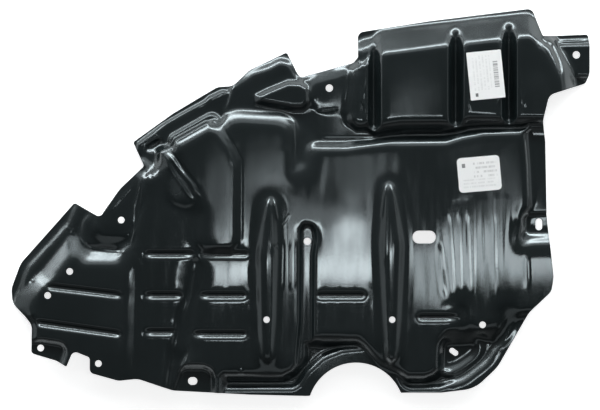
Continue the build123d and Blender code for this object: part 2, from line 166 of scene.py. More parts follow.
# Where the sheet lies flatter than its forms: the level and reach in mm, and the line in photo pixels
IRONED = [
    (30, 19, [(134, 258), (134, 374)]),
    (30, 26, [(457, 200), (458, 284)]), (30, 28, [(500, 200), (499, 290)]),
]
# Where the forms are fainter than the solid's: how far from a line in mm, what is left of them, the blur in
# mm that they melt into, and the line in photo pixels
CALM_LINES = [
    (16, 0.45, 16, [(196, 266), (192, 300), (186, 345)]), (20, 0.35, 16, [(176, 192), (190, 198)]),
    (16, 0.5, 10, [(205, 210), (203, 246)]), (18, 0.2, 14, [(302, 140), (302, 184)]),
    (22, 0.5, 8, [(546, 52), (558, 66), (566, 92)]),
    (18, 0.55, 10, [(530, 245), (545, 245)]), (14, 0.5, 10, [(100, 238), (128, 240)]),
    (9, 0.36, 10, [(78, 208), (62, 228), (44, 250), (24, 270), (17, 284), (18, 300)]),
    (16, 0.35, 10, [(15, 284), (23, 302)]), (22, 0.42, 10, [(271, 204), (269, 360)]),
    (22, 0.42, 10, [(389, 190), (390, 358)]), (14, 0.3, 10, [(462, 302), (462, 326)]),
    (10, 0.5, 7, [(224, 132), (236, 158), (238, 246)]),
    (8, 0.6, 6, [(524, 208), (524, 240), (550, 243)]),
    (16, 0.8, 10, [(374, 50), (374, 118)]),
    (16, 0.8, 10, [(456, 40), (456, 118)]), (16, 0.8, 10, [(509, 36), (509, 112)]),
]
# Ridges, and creases where the height is below nothing: height and half width in mm, and the line in photo
# pixels
RIDGES = [
    (1.1, 1.7, [(170, 137.5), (190, 126), (212, 114)]), (1.1, 1.7, [(174, 142.5), (194, 131), (214, 120)]),
    (1.2, 1.8, [(161, 126.5), (184, 113), (207, 101.5), (208, 105)]),
    (1.0, 1.8, [(208, 99.5), (222, 92.5), (230, 93.5)]), (1.0, 1.7, [(136, 146.5), (155, 133.5), (158, 136)]),
    (1.8, 2.4, [(167, 152), (178, 167), (190, 182), (200, 198)]),
    (0.8, 2.0, [(164, 157), (173, 173), (185, 190), (194, 202)]),
    (-0.9, 2.0, [(170, 150), (181, 164), (193, 180), (203, 196)]),
    (0.35, 4.5, [(166, 176), (168, 190), (175, 202), (185, 205.5), (200, 200)]),
    (-0.5, 4.5, [(136, 258), (135, 300), (134, 376)]), (0.14, 3.0, [(129, 262), (128, 300), (126, 372)]),
    (1.0, 1.6, [(141, 179), (134, 205), (133, 222), (135, 231), (131, 246)]),
    (0.8, 1.6, [(143.5, 183), (141, 208)]),
    (0.6, 1.8, [(108, 213), (120, 199), (135, 184)]),
    (0.7, 2.0, [(228, 150), (234, 166), (233, 210), (233, 246)]),
    (-0.9, 2.6, [(221, 124), (232, 142), (241, 160), (241, 205), (241, 246)]),
    (0.6, 1.3, [(284, 240), (283, 290)]), (0.6, 1.3, [(290, 242), (290, 290)]),
    (0.6, 1.3, [(296, 240), (296, 288)]),
    (0.25, 1.8, [(281.5, 226), (286, 220), (290, 212)]),
    (0.9, 1.5, [(271, 196), (268, 206), (265.5, 222)]), (0.9, 1.5, [(271.5, 196), (275, 206), (278, 222)]),
    (1.1, 1.6, [(270.5, 206), (271, 222), (272, 250)]), (0.6, 1.8, [(272, 250), (272, 300), (270, 356)]),
    (0.9, 1.5, [(388, 182), (384, 196), (381, 220)]), (0.9, 1.5, [(388.5, 182), (393, 196), (396, 220)]),
    (1.1, 1.6, [(387, 188), (386, 220), (385, 262)]), (0.6, 1.8, [(385, 262), (387, 310), (389, 356)]),
    (-2.4, 5.0, [(82, 245), (92, 249), (124, 251)]),
    (1.3, 1.5, [(320, 138), (370, 138), (386, 135), (410, 132), (440, 132), (460, 127), (480, 125),
                (520, 124), (530, 121.5), (542, 121)]),
    (0.7, 1.4, [(520.5, 70), (521, 106)]), (0.7, 1.4, [(525, 90), (525, 108)]),
    (0.9, 2.0, [(350, 66), (343, 105)]), (0.9, 2.0, [(368, 76), (362, 100), (370, 119)]),
    (0.8, 2.0, [(316, 111), (340, 108)]),
    (1.0, 1.6, [(560, 41.5), (588, 41)]), (-1.6, 3.0, [(537, 37), (552, 47), (558, 60), (562, 78)]),
    (0.5, 2.4, [(509, 313), (500, 328), (485, 352)]),
    (0.5, 2.4, [(518, 315), (510, 330), (500, 348), (490, 362)]),
    (0.8, 1.5, [(78, 236), (83, 243), (90, 248), (108, 251), (128, 252.5)]),
    (0.7, 1.5, [(523.5, 135), (526, 165), (527, 205)]),
    (0.5, 2.4, [(528, 252), (529, 289)]), (-0.2, 2.4, [(524, 252), (525, 289)]),
    (-0.45, 4.0, [(439, 240), (441, 270), (445, 300)]), (-0.3, 2.2, [(449, 212), (453, 295)]),
    (-0.2, 2.0, [(458, 212), (461, 290)]), (-0.3, 2.2, [(467, 212), (470, 292)]),
    (-0.2, 2.6, [(495, 212), (497, 288)]),
    (0.8, 2.0, [(238, 374), (241, 370), (244, 374)]), (0.8, 2.0, [(281, 381), (286, 378), (292, 380)]),
    (0.8, 1.9, [(286, 117), (293, 122), (294.5, 146), (293, 172)]),
]
# Very shallow swellings, and hollows where the height is below nothing, that bend what the sheet reflects:
# height in mm, place and reach in photo pixels
SWELLINGS = [
    (0.35, (479, 208), (8, 32)), (0.28, (497, 206), (3.5, 34)), (0.28, (508, 206), (3.5, 32)),
    (0.4, (535, 205), (12, 34)), (0.7, (410, 30), (26, 6)), (-0.6, (448, 22), (16, 7)),
    (0.6, (484, 24), (14, 6)), (-0.5, (528, 20), (10, 8)), (0.4, (352, 206), (22, 26)),
    (-0.4, (228, 240), (22, 18)), (0.9, (270, 155), (30, 30)), (1.0, (415, 88), (30, 26)),
    (0.8, (345, 100), (22, 20)),
]
# Faint streaks that run up the sheet: height in mm, place and reach in photo pixels
STREAKS = [
    (0.11, (486, 250), (32, 44)), (0.03, (352, 250), (26, 40)), (0.05, (265, 268), (22, 16)),
]
# Puckers of the film where it is drawn round a tight corner: place and reach in photo pixels, and turn in
# degrees
PUCKERS = [
    ((72, 230), (6, 5), -40), ((149, 174), (6, 3.5), -30), ((167, 147), (5, 6), 50),
    ((214, 117), (3.5, 4.5), 0), ((371, 60), (6, 3), 0), ((456, 47), (6.5, 4), 0),
    ((510, 41), (8, 4), 0), ((543, 42), (7, 4), 40), ((357, 67), (4, 3), 0), ((29, 281), (4, 2), 0),
    ((18, 296), (2, 2), 0), ((314, 146), (2, 2), 0), ((129, 235), (2, 2), 0), ((276, 244), (2, 4), 0),
]

# Cloudy, less glossy areas: strength, place and reach in photo pixels, and turn in degrees
CLOUDS = [
    (1.0, (420, 88), (32, 30), 0), (0.8, (345, 95), (26, 28), 0), (0.7, (500, 170), (30, 46), 0),
    (1.0, (222, 195), (16, 60), 0), (0.8, (272, 160), (36, 34), 0), (0.6, (540, 85), (18, 34), 0),
    (0.7, (360, 175), (34, 30), 0), (1.3, (176, 184), (13, 18), 0), (0.8, (440, 24), (100, 12), 7),
    (0.5, (330, 360), (40, 20), 0), (0.4, (120, 340), (20, 40), 0), (0.8, (60, 258), (9, 30), -38),
    (0.5, (480, 150), (40, 20), 0),
]
# The walls, where the sheet was drawn thin, are cloudy too: how much, and from what slope on
WALL_CLOUD = 0.8
WALL_SLOPE = 0.35

PLASTIC_DARK = (0.006, 0.0092, 0.0098, 1)
PLASTIC_LIGHT = (0.009, 0.0128, 0.0138, 1)
PLASTIC_SPECULAR = 0.85
PLASTIC_SPECULAR_TINT = (0.88, 0.97, 1.0, 1)
CLEAR_ROUGHNESS = (0.03, 0.06)  # least and most, from streak to streak
CLOUD_ROUGHNESS = (0.14, 0.26)  # what the cloudiest areas add to it
PAPER_DARK = (0.92, 0.92, 0.92, 1)
PAPER_LIGHT = (0.96, 0.96, 0.955, 1)
PAPER_ROUGHNESS = 0.6
INK = (0.03, 0.03, 0.035, 1)
WHITE = (1, 1, 1, 1)

FLOOR_REACH = 12.0  # in m, as is its level
FLOOR_LEVEL = -0.0003
FLOOR_GREY = (0.86, 0.86, 0.86, 1)
FLOOR_ROUGHNESS = 0.9
FLOOR_GLOW = 0.75  # only where it is seen or mirrored

LAMP_TINT = (0.955, 0.99, 1)
# Lamps that look straight down: name, place, width and height in m, and radiance in Blender's units
OVERHEAD_LAMPS = [
    ("left_strip", (0.0, -0.1226, 2.2), (0.394, 0.073), 9.0),
    ("middle_strip", (0.238, -0.142, 2.2), (0.076, 0.09), 4.5),
    ("right_strip", (0.49, -0.1, 2.2), (0.40, 0.098), 5.5),
    ("strip_glow", (0.0, -0.07, 2.21), (0.394, 0.12), 1.4),
    ("window", (0.116, 0.047, 2.2), (0.085, 0.085), 3.0),
]
# The upper softbox is three lamps, one behind the other, that look at the middle of the frame: name, how many
# times as far away as the first, height and radiance
SOFTBOX_PLACE = (2.2, 0.95)
SOFTBOX_WIDTH = 8.0
SOFTBOX_LAYERS = [("core", 1.0, 0.22, 17.0), ("body", 1.01, 0.5, 3.6), ("glow", 1.02, 1.0, 1.3)]
# The other lamps that look there, written as the overhead ones are
SIDE_LAMPS = [
    ("high_softbox", (0.2, 1.95, 2.05), (4.0, 1.15), 0.9),
    ("lower_softbox", (0, -1.8, 2.4), (4.0, 1.0), 0.4),
    ("left_softbox", (-2.8, 0.2, 0.9), (2.2, 0.7), 0.55),
    ("right_softbox", (2.8, 0.2, 0.9), (2.2, 0.7), 0.5),
]

SENSOR = 36.0
CAMERA_HEIGHT = 7.0  # in m, as is what it is framed on
FRAMED_LEVEL = 0.02  # the height at which a pixel of the picture is a pixel of the photograph
CLIP_END = 100  # in m


def px(x, y):
    """A pixel of the photograph in drawing coordinates."""
    return (PHOTO_ORIGIN[0] + PIXEL * x, PHOTO_ORIGIN[1] - PIXEL * y)


def arc_points(corner, before, after, radius):
    """Points round one corner of an outline."""
    len_in = math.dist(corner, before)
    len_out = math.dist(corner, after)
    way_in = np.subtract(corner, before) / len_in
    way_out = np.subtract(after, corner) / len_out
    cosine = float(np.clip(way_in @ way_out, -1, 1))
    half_tan = math.sqrt((1 - cosine) / (1 + cosine))
    reach = min(radius * half_tan, CORNER_SHARE * len_in, CORNER_SHARE * len_out)
    start = np.array(corner) - way_in * reach
    turn = math.acos(cosine)
    if turn < LEAST_TURN:
        return [start, np.array(corner) + way_out * reach]
    size = reach / half_tan
    side = 1 if way_in[0] * way_out[1] - way_in[1] * way_out[0] > 0 else -1
    centre = start + side * size * np.array((-way_in[1], way_in[0]))
    first = math.atan2(start[1] - centre[1], start[0] - centre[0])
    count = max(2, math.ceil(turn * size / BOUNDARY_STEP))
    angles = [first + side * turn * i / count for i in range(count + 1)]
    return [centre + size * np.array((math.cos(a), math.sin(a))) for a in angles]


def even(points, step=BOUNDARY_STEP):
    """A closed line with its long runs divided into even steps."""
    result = []
    for here, there in zip(points, points[1:] + points[:1]):
        run = math.dist(here, there)
        if run < SHORTEST_RUN:
            continue
        count = max(1, round(run / step))
        result += [np.add(here, np.subtract(there, here) * i / count) for i in range(count)]
    return result


def outline_loop():
    """The trimmed edge with its arch, anticlockwise."""
    corners = [(c[0], c[1]) for c in OUTLINE]
    count = len(corners)
    line = []
    for i, (x, y, radius) in enumerate(OUTLINE):
        line += arc_points((x, y), corners[i - 1], corners[(i + 1) % count], radius)
    line = even(line)
    centre = np.array(ARCH_CENTRE)
    outside = [math.dist(p, centre) > ARCH_RADIUS for p in line]
    first = next(i for i in range(len(line)) if outside[i - 1] and not outside[i])
    kept = [line[(first + k) % len(line)] for k in range(len(line)) if outside[(first + k) % len(line)]]
    # kept runs from one foot of the arch round to the other, and the arch closes it
    start = math.atan2(*(kept[-1] - centre)[::-1])
    finish = math.atan2(*(kept[0] - centre)[::-1])
    steps = round(abs(finish - start) * ARCH_RADIUS / BOUNDARY_STEP)
    angles = [start + (finish - start) * k / steps for k in range(1, steps)]
    arch = [centre + ARCH_RADIUS * np.array((math.cos(a), math.sin(a))) for a in angles]
    return (kept + arch)[::-1]


def circle_loop(x, y, radius):
    """A round hole, anticlockwise."""
    angles = [2 * math.pi * i / HOLE_SIDES for i in range(HOLE_SIDES)]
    return [np.array((x + radius * math.cos(a), y + radius * math.sin(a))) for a in angles]


def slot_loop(x, y, length, width, turn):
    """A round-ended slot, anticlockwise."""
    radius = width / 2
    half = length / 2 - radius
    points = []
    for centre, first in ((half, -90), (-half, 90)):
        for i in range(SLOT_END_SIDES + 1):
            a = math.radians(first + 180 * i / SLOT_END_SIDES)
            points.append((centre + radius * math.cos(a), radius * math.sin(a)))
    c, s = math.cos(math.radians(turn)), math.sin(math.radians(turn))
    return even([np.array((x + c * u - s * v, y + s * u + c * v)) for u, v in points], SLOT_STEP)


# Heights of the upper skin, in mm, on a grid

X_AXIS = np.arange(-GRID_REACH[0], GRID_REACH[0] + 1, GRID)
Y_AXIS = np.arange(-GRID_REACH[1], GRID_REACH[1] + 1, GRID)
GRID_X, GRID_Y = np.meshgrid(X_AXIS, Y_AXIS)


def sampled_heights(node):
    """The heights of a solid's top, and nothing beyond its edges and in its holes."""
    mesh = node.data
    tree = BVHTree.FromPolygons([v.co for v in mesh.vertices], [p.vertices[:] for p in mesh.polygons])
    down = Vector((0, 0, -1))
    heights = np.full(GRID_X.shape, np.nan)
    for j, y in enumerate(Y_AXIS):
        for i, x in enumerate(X_AXIS):
            start = Vector(((x + SHIFT[0]) * MM, (y + SHIFT[1]) * MM, RAY_START))
            hit = tree.ray_cast(start, down)[0]
            if hit is not None:
                heights[j, i] = hit.z / MM
    return heights


def filled(heights, reach=24):
    """The heights carried on beyond the edges and across the holes."""
    known = ~np.isnan(heights)
    heights = np.where(known, heights, 0.0)
    for _ in range(reach):
        total = np.zeros_like(heights)
        count = np.zeros_like(heights)
        for step, axis in ((1, 0), (-1, 0), (1, 1), (-1, 1)):
            total += np.roll(heights * known, step, axis)
            count += np.roll(known, step, axis)
        fresh = ~known & (count > 0)
        heights[fresh] = total[fresh] / count[fresh]
        known |= fresh
    return heights


def blurred(values, sigma):
    """A Gaussian blur, with a sigma in mm."""
    reach = math.ceil(3 * sigma / GRID)
    offsets = np.arange(-reach, reach + 1) * GRID
    kernel = np.exp(-0.5 * (offsets / sigma) ** 2)
    kernel /= kernel.sum()
    for axis in (0, 1):
        width = [(reach, reach) if a == axis else (0, 0) for a in (0, 1)]
        padded = np.pad(values, width, mode="edge")
        size = values.shape[axis]
        values = sum(k * np.take(padded, range(n, n + size), axis) for n, k in enumerate(kernel))
    return values


def line_distance(points, margin):
    """The window round a line, and how far each place in it is from the line and from the line's nearer end.

    The second distance runs along the line, from the point of it that lies nearest to the place.
    """
    xs, ys = [p[0] for p in points], [p[1] for p in points]
    i0, i1 = np.searchsorted(X_AXIS, (min(xs) - margin, max(xs) + margin))
    j0, j1 = np.searchsorted(Y_AXIS, (min(ys) - margin, max(ys) + margin))
    window = (slice(j0, j1), slice(i0, i1))
    gx, gy = GRID_X[window], GRID_Y[window]
    best = np.full(gx.shape, np.inf)
    passed = np.zeros_like(best)
    length = 0.0
    for (ax, ay), (bx, by) in zip(points, points[1:]):
        dx, dy = bx - ax, by - ay
        t = np.clip(((gx - ax) * dx + (gy - ay) * dy) / (dx * dx + dy * dy), 0, 1)
        away = np.hypot(gx - ax - t * dx, gy - ay - t * dy)
        run = math.hypot(dx, dy)
        passed = np.where(away < best, length + t * run, passed)
        best = np.minimum(best, away)
        length += run
    return window, best, np.minimum(passed, length - passed)


def add_ridge(heights, points, amount, width):
    """A soft ridge, or a soft crease where the amount is below nothing, along a line of photo pixels."""
    window, distance, inside = line_distance([px(*p) for p in points], RIDGE_REACH * width)
    length = sum(math.dist(px(*a), px(*b)) for a, b in zip(points, points[1:]))
    taper = 1 - TAPER * np.exp(-((inside / min(TAPER_WIDTHS * width, TAPER_SHARE * length)) ** 2))
    heights[window] += amount * taper * np.exp(-((distance / width) ** 2))


def turned(x, y, turn):
    """Where the grid's places lie along and across, seen from a point and turned by an angle in degrees."""
    c, s = math.cos(math.radians(turn)), math.sin(math.radians(turn))
    return (GRID_X - x) * c + (GRID_Y - y) * s, -(GRID_X - x) * s + (GRID_Y - y) * c


def oval(centre, radii, turn=0.0):
    """A soft oval spot of height one, placed in photo pixels, with radii in pixels."""
    along, across = turned(*px(*centre), turn)
    u = along / (radii[0] * PIXEL)
    v = across / (radii[1] * PIXEL)
    return np.exp(-(u * u + v * v))


def near(lines, fade=LINE_FADE):
    """One near lines of photo pixels, and nothing beyond: each line has its reach and its points."""
    mask = np.zeros_like(GRID_X)
    for reach, points in lines:
        window, distance, _ = line_distance([px(*p) for p in points], reach + fade)
        mask[window] = np.maximum(mask[window], np.clip((reach + fade - distance) / fade, 0, 1))
    return blurred(mask, AREA_BLUR)


def ironed(heights):
    """The heights with some areas pressed to a level."""
    for level, reach, points in IRONED:
        heights = heights + near([(reach - IRON_INSET, points)], IRON_FADE) * (level - heights)
    return heights


def calmed(heights):
    """The heights with some of their forms made fainter."""
    for spread in sorted({line[2] for line in CALM_LINES}):
        left = np.ones_like(GRID_X)
        for reach, share, own, points in CALM_LINES:
            if own == spread:
                left = np.minimum(left, 1 - (1 - share) * near([(reach - CALM_INSET, points)], CALM_FADE))
        broad = blurred(heights, spread)
        heights = broad + left * (heights - broad)
    return heights


def waves(seed, reach_x, reach_y):
    """Smooth random waves of about unit size, with their length along X and along Y in mm."""
    rng = np.random.default_rng(seed)
    total = np.zeros_like(GRID_X)
    for _ in range(WAVE_COUNT):
        angle = rng.uniform(0, 2 * math.pi)
        kx = 2 * math.pi * math.cos(angle) / reach_x * rng.uniform(*WAVE_SPREAD)
        ky = 2 * math.pi * math.sin(angle) / reach_y * rng.uniform(*WAVE_SPREAD)
        total += np.sin(kx * GRID_X + ky * GRID_Y + rng.uniform(0, 2 * math.pi))
    return total / math.sqrt(WAVE_COUNT / 2)


def away_from_labels():
    """One on the bare sheet, and nothing under the labels."""
    mask = np.ones_like(GRID_X)
    for x, y, turn, width, height in (UPPER_LABEL, LOWER_LABEL):
        along, across = turned(x, y, turn)
        beyond = np.maximum(np.abs(along) - width / 2, np.abs(across) - height / 2)
        mask *= np.clip((beyond - LABEL_MARGIN) / LABEL_FADE, 0, 1)
    return mask


def detailed_heights():
    """The heights of the moulded sheet's top, with all its small forms, never above the solid's highest."""
    raw = sampled_heights(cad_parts["shield"])
    top = np.nanmax(raw)
    whole = filled(raw)
    bare = away_from_labels()
    crisp, softest = near(CRISP_LINES), near(SOFT_LINES)
    whole += bare * (calmed(ironed(whole)) - whole)
    heights = blurred(whole, SOFT)
    heights += softest * (blurred(whole, SOFTEST) - heights)
    heights += np.maximum(crisp, 1 - bare) * (blurred(whole, CRISP) - heights)
    for amount, width, points in RIDGES:
        add_ridge(heights, points, amount, width)
    folds = waves(*FOLD_WAVES)
    for centre, reach, turn in PUCKERS:
        heights += FOLD_HEIGHT * oval(centre, reach, turn) * folds
    for amount, centre, reach in SWELLINGS:
        heights += amount * bare * oval(centre, reach)
    heights += bare * (BROAD_HEIGHT * waves(*BROAD_WAVES) + FINE_HEIGHT * waves(*FINE_WAVES) - WAVE_DROP)
    streaks = waves(*STREAK_WAVES)
    for amount, centre, reach in STREAKS:
        heights += amount * bare * oval(centre, reach) * streaks
    return np.clip(heights, 0.0, top)


def sampler(values):
    """A function that reads a grid of values between its points."""

    def read(x, y):
        # just short of the last point, so that there is always a next one
        u = np.clip((x - X_AXIS[0]) / GRID, 0, len(X_AXIS) - 1.001)
        v = np.clip((y - Y_AXIS[0]) / GRID, 0, len(Y_AXIS) - 1.001)
        i, j = u.astype(int), v.astype(int)
        fu, fv = u - i, v - j
        low = values[j, i] * (1 - fu) + values[j, i + 1] * fu
        high = values[j + 1, i] * (1 - fu) + values[j + 1, i + 1] * fu
        return low * (1 - fv) + high * fv

    return read


def curvature(heights):
    """How much the sheet bends, per mm."""
    dy, dx = np.gradient(heights, GRID)
    dxy, dxx = np.gradient(dx, GRID)
    dyy, _ = np.gradient(dy, GRID)
    return blurred(np.abs(dxx) + np.abs(dyy) + 2 * np.abs(dxy), BEND_BLUR)


def scattered(levels, bends):
    """Points that lie closer where the sheet bends more: levels are spacing and least bend."""
    read = sampler(bends)
    found = []
    for n, (spacing, least) in enumerate(levels):
        xs = np.arange(X_AXIS[0] + GRID_MARGIN, X_AXIS[-1] - GRID_MARGIN, spacing)
        ys = np.arange(Y_AXIS[0] + GRID_MARGIN, Y_AXIS[-1] - GRID_MARGIN, spacing * ROW_SPACING)
        gx, gy = np.meshgrid(xs, ys)
        gx = gx + np.where(np.arange(len(ys)) % 2, spacing / 2, 0)[:, None] + LEVEL_OFFSET * n
        bend = read(gx, gy)
        keep = bend >= least
        if n + 1 < len(levels):
            keep &= bend < levels[n + 1][1]
        found.append(np.column_stack((gx[keep], gy[keep])))
    return np.vstack(found)


def triangulated(loops, rings, inner, clearance):
    """A triangulation inside the first loop and outside the others, whose first points are the loops' own."""
    tree = KDTree(sum(len(loop) for loop in loops))
    for n, p in enumerate(p for loop in loops for p in loop):
        tree.insert((p[0], p[1], 0), n)
    tree.balance()
    clear = [p for p in inner if tree.find((p[0], p[1], 0))[2] > clearance]
    points = [Vector(p) for loop in loops for p in loop]
    faces = []
    start = 0
    for loop in loops:
        faces.append(list(range(start, start + len(loop))))
        start += len(loop)
    points += [Vector(p) for p in rings] + [Vector(p) for p in clear]
    verts, _, tris, _, _, owners = delaunay_2d_cdt(points, [], faces, 0, SAME_POINT)
    kept = np.array([t for t, owner in zip(tris, owners) if 0 in owner and len(owner) == 1])
    used = np.unique(kept)
    number = np.zeros(len(verts), int)
    number[used] = np.arange(len(used))
    return np.array([v[:] for v in verts])[used], number[kept]


def wall_triangles(loops, under_start):
    """The triangles between the two skins, round the outline and through the holes."""
    triangles = []
    start = 0
    for n, loop in enumerate(loops):
        here = np.arange(start, start + len(loop))
        there = np.roll(here, -1)
        if n:
            here, there = there, here
        triangles.append(np.column_stack((here, here + under_start, there + under_start)))
        triangles.append(np.column_stack((here, there + under_start, there)))
        start += len(loop)
    return np.vstack(triangles)


def loop_normals(loop, outer):
    """Unit vectors that point out of the material along a closed anticlockwise line."""
    points = np.array(loop)
    along = np.roll(points, -1, 0) - np.roll(points, 1, 0)
    along /= np.linalg.norm(along, axis=1)[:, None]
    out = np.column_stack((along[:, 1], -along[:, 0]))
    return out if outer else -out


def cloudiness(slope):
    """How cloudy the gloss is: less on the flats than on the walls, where the sheet was drawn thin."""
    total = WALL_CLOUD * np.clip(blurred(slope, AREA_BLUR) / WALL_SLOPE, 0, 1)
    for strength, centre, reach, turn in CLOUDS:
        total = np.maximum(total, strength * oval(centre, reach, turn))
    return total


def shield_mesh():
    """The whole sheet: its two skins, and the walls of its outline and holes between them."""
    heights = detailed_heights()
    bends = curvature(heights)
    slope_y, slope_x = np.gradient(heights, GRID)
    read_z, read_sx, read_sy = sampler(heights), sampler(slope_x), sampler(slope_y)
    loops = [outline_loop()]
    loops += [circle_loop(*hole) for hole in ROUND_HOLES] + [slot_loop(*slot) for slot in SLOTS]
    edge = np.vstack([np.array(loop) for loop in loops])
    edge_out = np.vstack([loop_normals(loop, n == 0) for n, loop in enumerate(loops)])
    rings = edge - edge_out * EDGE_ROUND

    top, top_faces = triangulated(loops, rings, scattered(TOP_LEVELS, bends), TOP_CLEARANCE)
    under, under_faces = triangulated(loops, [], scattered(UNDER_LEVELS, bends), UNDER_CLEARANCE)
    under_faces = under_faces[:, ::-1]
    under_start = len(top)
    count = len(edge)

    def skin(points):
        x, y = points[:, 0], points[:, 1]
        z, sx, sy = read_z(x, y), read_sx(x, y), read_sy(x, y)
        normal = np.column_stack((-sx, -sy, np.ones_like(sx)))
        stretch = np.linalg.norm(normal, axis=1)
        return z, normal / stretch[:, None], stretch

    wall_normal = np.column_stack((edge_out, np.zeros(count)))
    top_z, top_normal, _ = skin(top)
    top_z[:count] -= EDGE_DROP
    rounded = top_normal[:count] + wall_normal
    top_normal[:count] = rounded / np.linalg.norm(rounded, axis=1)[:, None]
    under_z, under_normal, stretch = skin(under)
    under_z = np.maximum(under_z - WALL * np.minimum(stretch, MOST_STRETCH), 0.0)

    verts = np.vstack((np.column_stack((top, top_z)), np.column_stack((under, under_z))))
    clouds = sampler(cloudiness(np.hypot(slope_x, slope_y)))(verts[:, 0], verts[:, 1])
    verts[:, :2] += SHIFT
    walls = wall_triangles(loops, under_start)
    faces = np.vstack((top_faces, under_faces + under_start, walls))
    corners = np.vstack((
        top_normal[top_faces.ravel()], -under_normal[under_faces.ravel()],
        wall_normal[(walls % under_start).ravel()],
    ))
    mesh = bpy.data.meshes.new("shield_sheet")
    mesh.from_pydata((verts * MM).tolist(), [], faces.tolist())
    mesh.polygons.foreach_set("use_smooth", np.ones(len(faces), bool))
    mesh.normals_split_custom_set(corners.tolist())
    mesh.attributes.new("cloudiness", "FLOAT", "POINT").data.foreach_set("value", clouds.astype(np.float32))
    mesh.validate()
    return mesh


def new_material(name):
    """A material, its node tree and its shader."""
    material = bpy.data.materials.new(name)
    material.use_nodes = True
    tree = material.node_tree
    shader = next(n for n in tree.nodes if n.type == "BSDF_PRINCIPLED")
    return material, tree, shader


def set_inputs(tree, node, inputs):
    """Sets a node's inputs to values, or links them to sockets."""
    for key, value in inputs.items():
        if isinstance(value, bpy.types.NodeSocket):
            tree.links.new(value, node.inputs[key])
        else:
            node.inputs[key].default_value = value


def add_node(tree, kind, inputs=None, **settings):
    """A new node with its inputs and settings."""
    node = tree.nodes.new(kind)
    for key, value in settings.items():
        setattr(node, key, value)
    set_inputs(tree, node, inputs or {})
    return node


def math_node(tree, operation, a, b=0.0, c=0.0):
    """What an operation makes of up to three values."""
    return add_node(tree, "ShaderNodeMath", {0: a, 1: b, 2: c}, operation=operation).outputs[0]


def times(tree, a, b):
    """Two values multiplied."""
    return math_node(tree, "MULTIPLY", a, b)


def larger(tree, a, b):
    """The larger of two values."""
    return math_node(tree, "MAXIMUM", a, b)


def ramp(tree, factor, low, high, dark, light):
    """A value that goes from dark to light while the factor goes from low to high."""
    inputs = {"Value": factor, "From Min": low, "From Max": high, "To Min": dark, "To Max": light}
    return add_node(tree, "ShaderNodeMapRange", inputs, clamp=True).outputs[0]


def mixed(tree, factor, first, second):
    """A colour that goes from the first to the second while the factor goes from nothing to one."""
    return add_node(tree, "ShaderNodeMix", {0: factor, 6: first, 7: second}, data_type="RGBA").outputs[2]


def noise(tree, vector, scale, detail, dimensions="3D"):
    """Smooth random values."""
    inputs = {"Vector": vector, "Scale": scale, "Detail": detail}
    return add_node(tree, "ShaderNodeTexNoise", inputs, noise_dimensions=dimensions).outputs["Fac"]


def bump(tree, height, strength, distance):
    """The normal of a surface with fine relief, whose distance is in m."""
    inputs = {"Strength": strength, "Distance": distance, "Height": height}
    return add_node(tree, "ShaderNodeBump", inputs).outputs[0]


def object_place(tree):
    """Where a point lies in its object, in m."""
    return add_node(tree, "ShaderNodeTexCoord").outputs["Object"]


def plastic_material():
    """Glossy black moulded plastic: a faint grain, cloudy gloss and the drawn streaks of the sheet."""
    material, tree, shader = new_material("black_plastic_sheet")
    place = object_place(tree)
    cloud = noise(tree, place, 14.0, 4.0)
    grain = noise(tree, place, 900.0, 2.0)
    drawn = add_node(tree, "ShaderNodeMapping", {"Vector": place, "Scale": (110.0, 26.0, 26.0)}).outputs[0]
    streak = noise(tree, drawn, 1.0, 3.0)
    clouded = add_node(tree, "ShaderNodeAttribute", attribute_name="cloudiness").outputs["Fac"]
    spread = times(tree, clouded, ramp(tree, cloud, 0.25, 0.75, *CLOUD_ROUGHNESS))
    clear = ramp(tree, streak, 0.35, 0.7, *CLEAR_ROUGHNESS)
    relief = math_node(tree, "ADD", times(tree, grain, 0.35), times(tree, streak, 0.65))
    set_inputs(tree, shader, {
        "Base Color": mixed(tree, ramp(tree, cloud, 0.3, 0.7, 0.0, 1.0), PLASTIC_DARK, PLASTIC_LIGHT),
        "Roughness": math_node(tree, "ADD", spread, clear),
        "Normal": bump(tree, relief, 0.08, 0.0004),
        "Specular IOR Level": PLASTIC_SPECULAR,
        "Specular Tint": PLASTIC_SPECULAR_TINT,
    })
    return material


def between(tree, value, low, high):
    """One where a value lies between two limits."""
    above = math_node(tree, "GREATER_THAN", value, low)
    return times(tree, above, math_node(tree, "LESS_THAN", value, high))


def block(tree, u, v, left, right, low, high):
    """One inside a rectangle on a label, in mm from its middle."""
    return times(tree, between(tree, u, left, right), between(tree, v, low, high))


def written_rows(tree, u, v, pitch, fill, seed):
    """Rows of grey words along u: a strip of each row's height, broken by word gaps and letters."""
    rows = math_node(tree, "DIVIDE", v, pitch)
    row = math_node(tree, "FLOOR", rows)
    inside = math_node(tree, "SUBTRACT", rows, row)
    own = math_node(tree, "MULTIPLY_ADD", row, 17.3, seed)
    place = add_node(tree, "ShaderNodeCombineXYZ", {0: u, 1: own}).outputs[0]
    words = math_node(tree, "GREATER_THAN", noise(tree, place, 0.16, 1.0, "2D"), 0.5 - fill)
    letters = ramp(tree, noise(tree, place, 1.5, 0.0, "2D"), 0.35, 0.6, 0.2, 1.0)
    return times(tree, times(tree, words, letters), between(tree, inside, 0.25, 0.75))


def label_place(tree, label):
    """Millimetres along and across a label from its middle."""
    x, y, turn, _, _ = label
    where = (*((np.array((x, y)) + SHIFT) * MM), 0)
    settled = add_node(tree, "ShaderNodeMapping", {
        "Vector": object_place(tree), "Location": where, "Rotation": (0, 0, math.radians(turn)),
        "Scale": (MM, MM, MM),
    }, vector_type="TEXTURE").outputs[0]
    parts = add_node(tree, "ShaderNodeSeparateXYZ", {0: settled}).outputs
    return parts["X"], parts["Y"]


